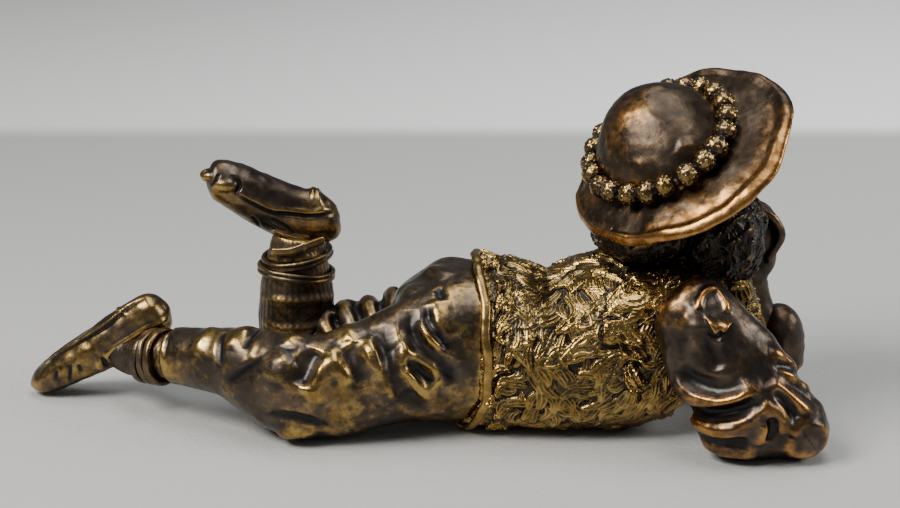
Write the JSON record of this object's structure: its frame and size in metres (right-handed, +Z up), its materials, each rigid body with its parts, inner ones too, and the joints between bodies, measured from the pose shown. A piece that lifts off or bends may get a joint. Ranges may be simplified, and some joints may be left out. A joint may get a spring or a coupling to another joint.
{
  "type": "bronze statuette",
  "caption": "Cast bronze figure of a country boy lying on his front, chin on one fist, one foot raised, in a wide hat with a beaded garland.",
  "frame": {"origin": "on the surface the statuette lies on, under the middle of its box", "axes": "+X from the feet to the head, +Z up, the figure's right side faces -Y"},
  "size_m": [0.1822, 0.0614, 0.0774],
  "materials": {
    "fleece": "patinated bronze, rubbed bright on the locks",
    "cloth": "patinated bronze, dark with rubbed ridges",
    "knit": "dark patinated bronze",
    "shoe_hide": "patinated bronze, olive gold",
    "felt": "patinated bronze, rubbed orange on the crown and rim",
    "beads": "patinated bronze, bright on the knurls",
    "curls": "blackened bronze",
    "flesh": "patinated bronze, smooth",
    "steel": "plain"
  },
  "bodies": {
    "root": {"torso_waistcoat": "fleece", "waistcoat_hem": "cloth", "breeches_right": "cloth", "breeches_left": "cloth", "stocking_left": "knit", "stocking_right": "knit", "shoe_left": "shoe_hide", "shoe_right": "shoe_hide", "ankle_band_right_1": "cloth", "ankle_band_right_2": "cloth", "ankle_band_right_3": "cloth", "ankle_band_left_1": "cloth", "ankle_band_left_2": "cloth", "ankle_strap_left": "cloth", "sleeve_right": "cloth", "hand_right": "flesh", "sleeve_left": "cloth", "forearm_left": "flesh", "head": "flesh", "hair": "curls", "hat": "felt", "hat_garland": "beads", "waist_stud": "steel", "waist_nut": "steel", "thigh_pin": "steel", "knee_pin": "steel", "calf_pin": "steel", "ankle_pin_left": "steel", "ankle_pin_right": "steel", "arm_pin_right": "steel", "arm_pin_left": "steel", "wrist_pin_right": "steel", "elbow_pin_left": "steel", "neck_pin": "steel", "hat_pin": "steel"}
  },
  "joints": []
}
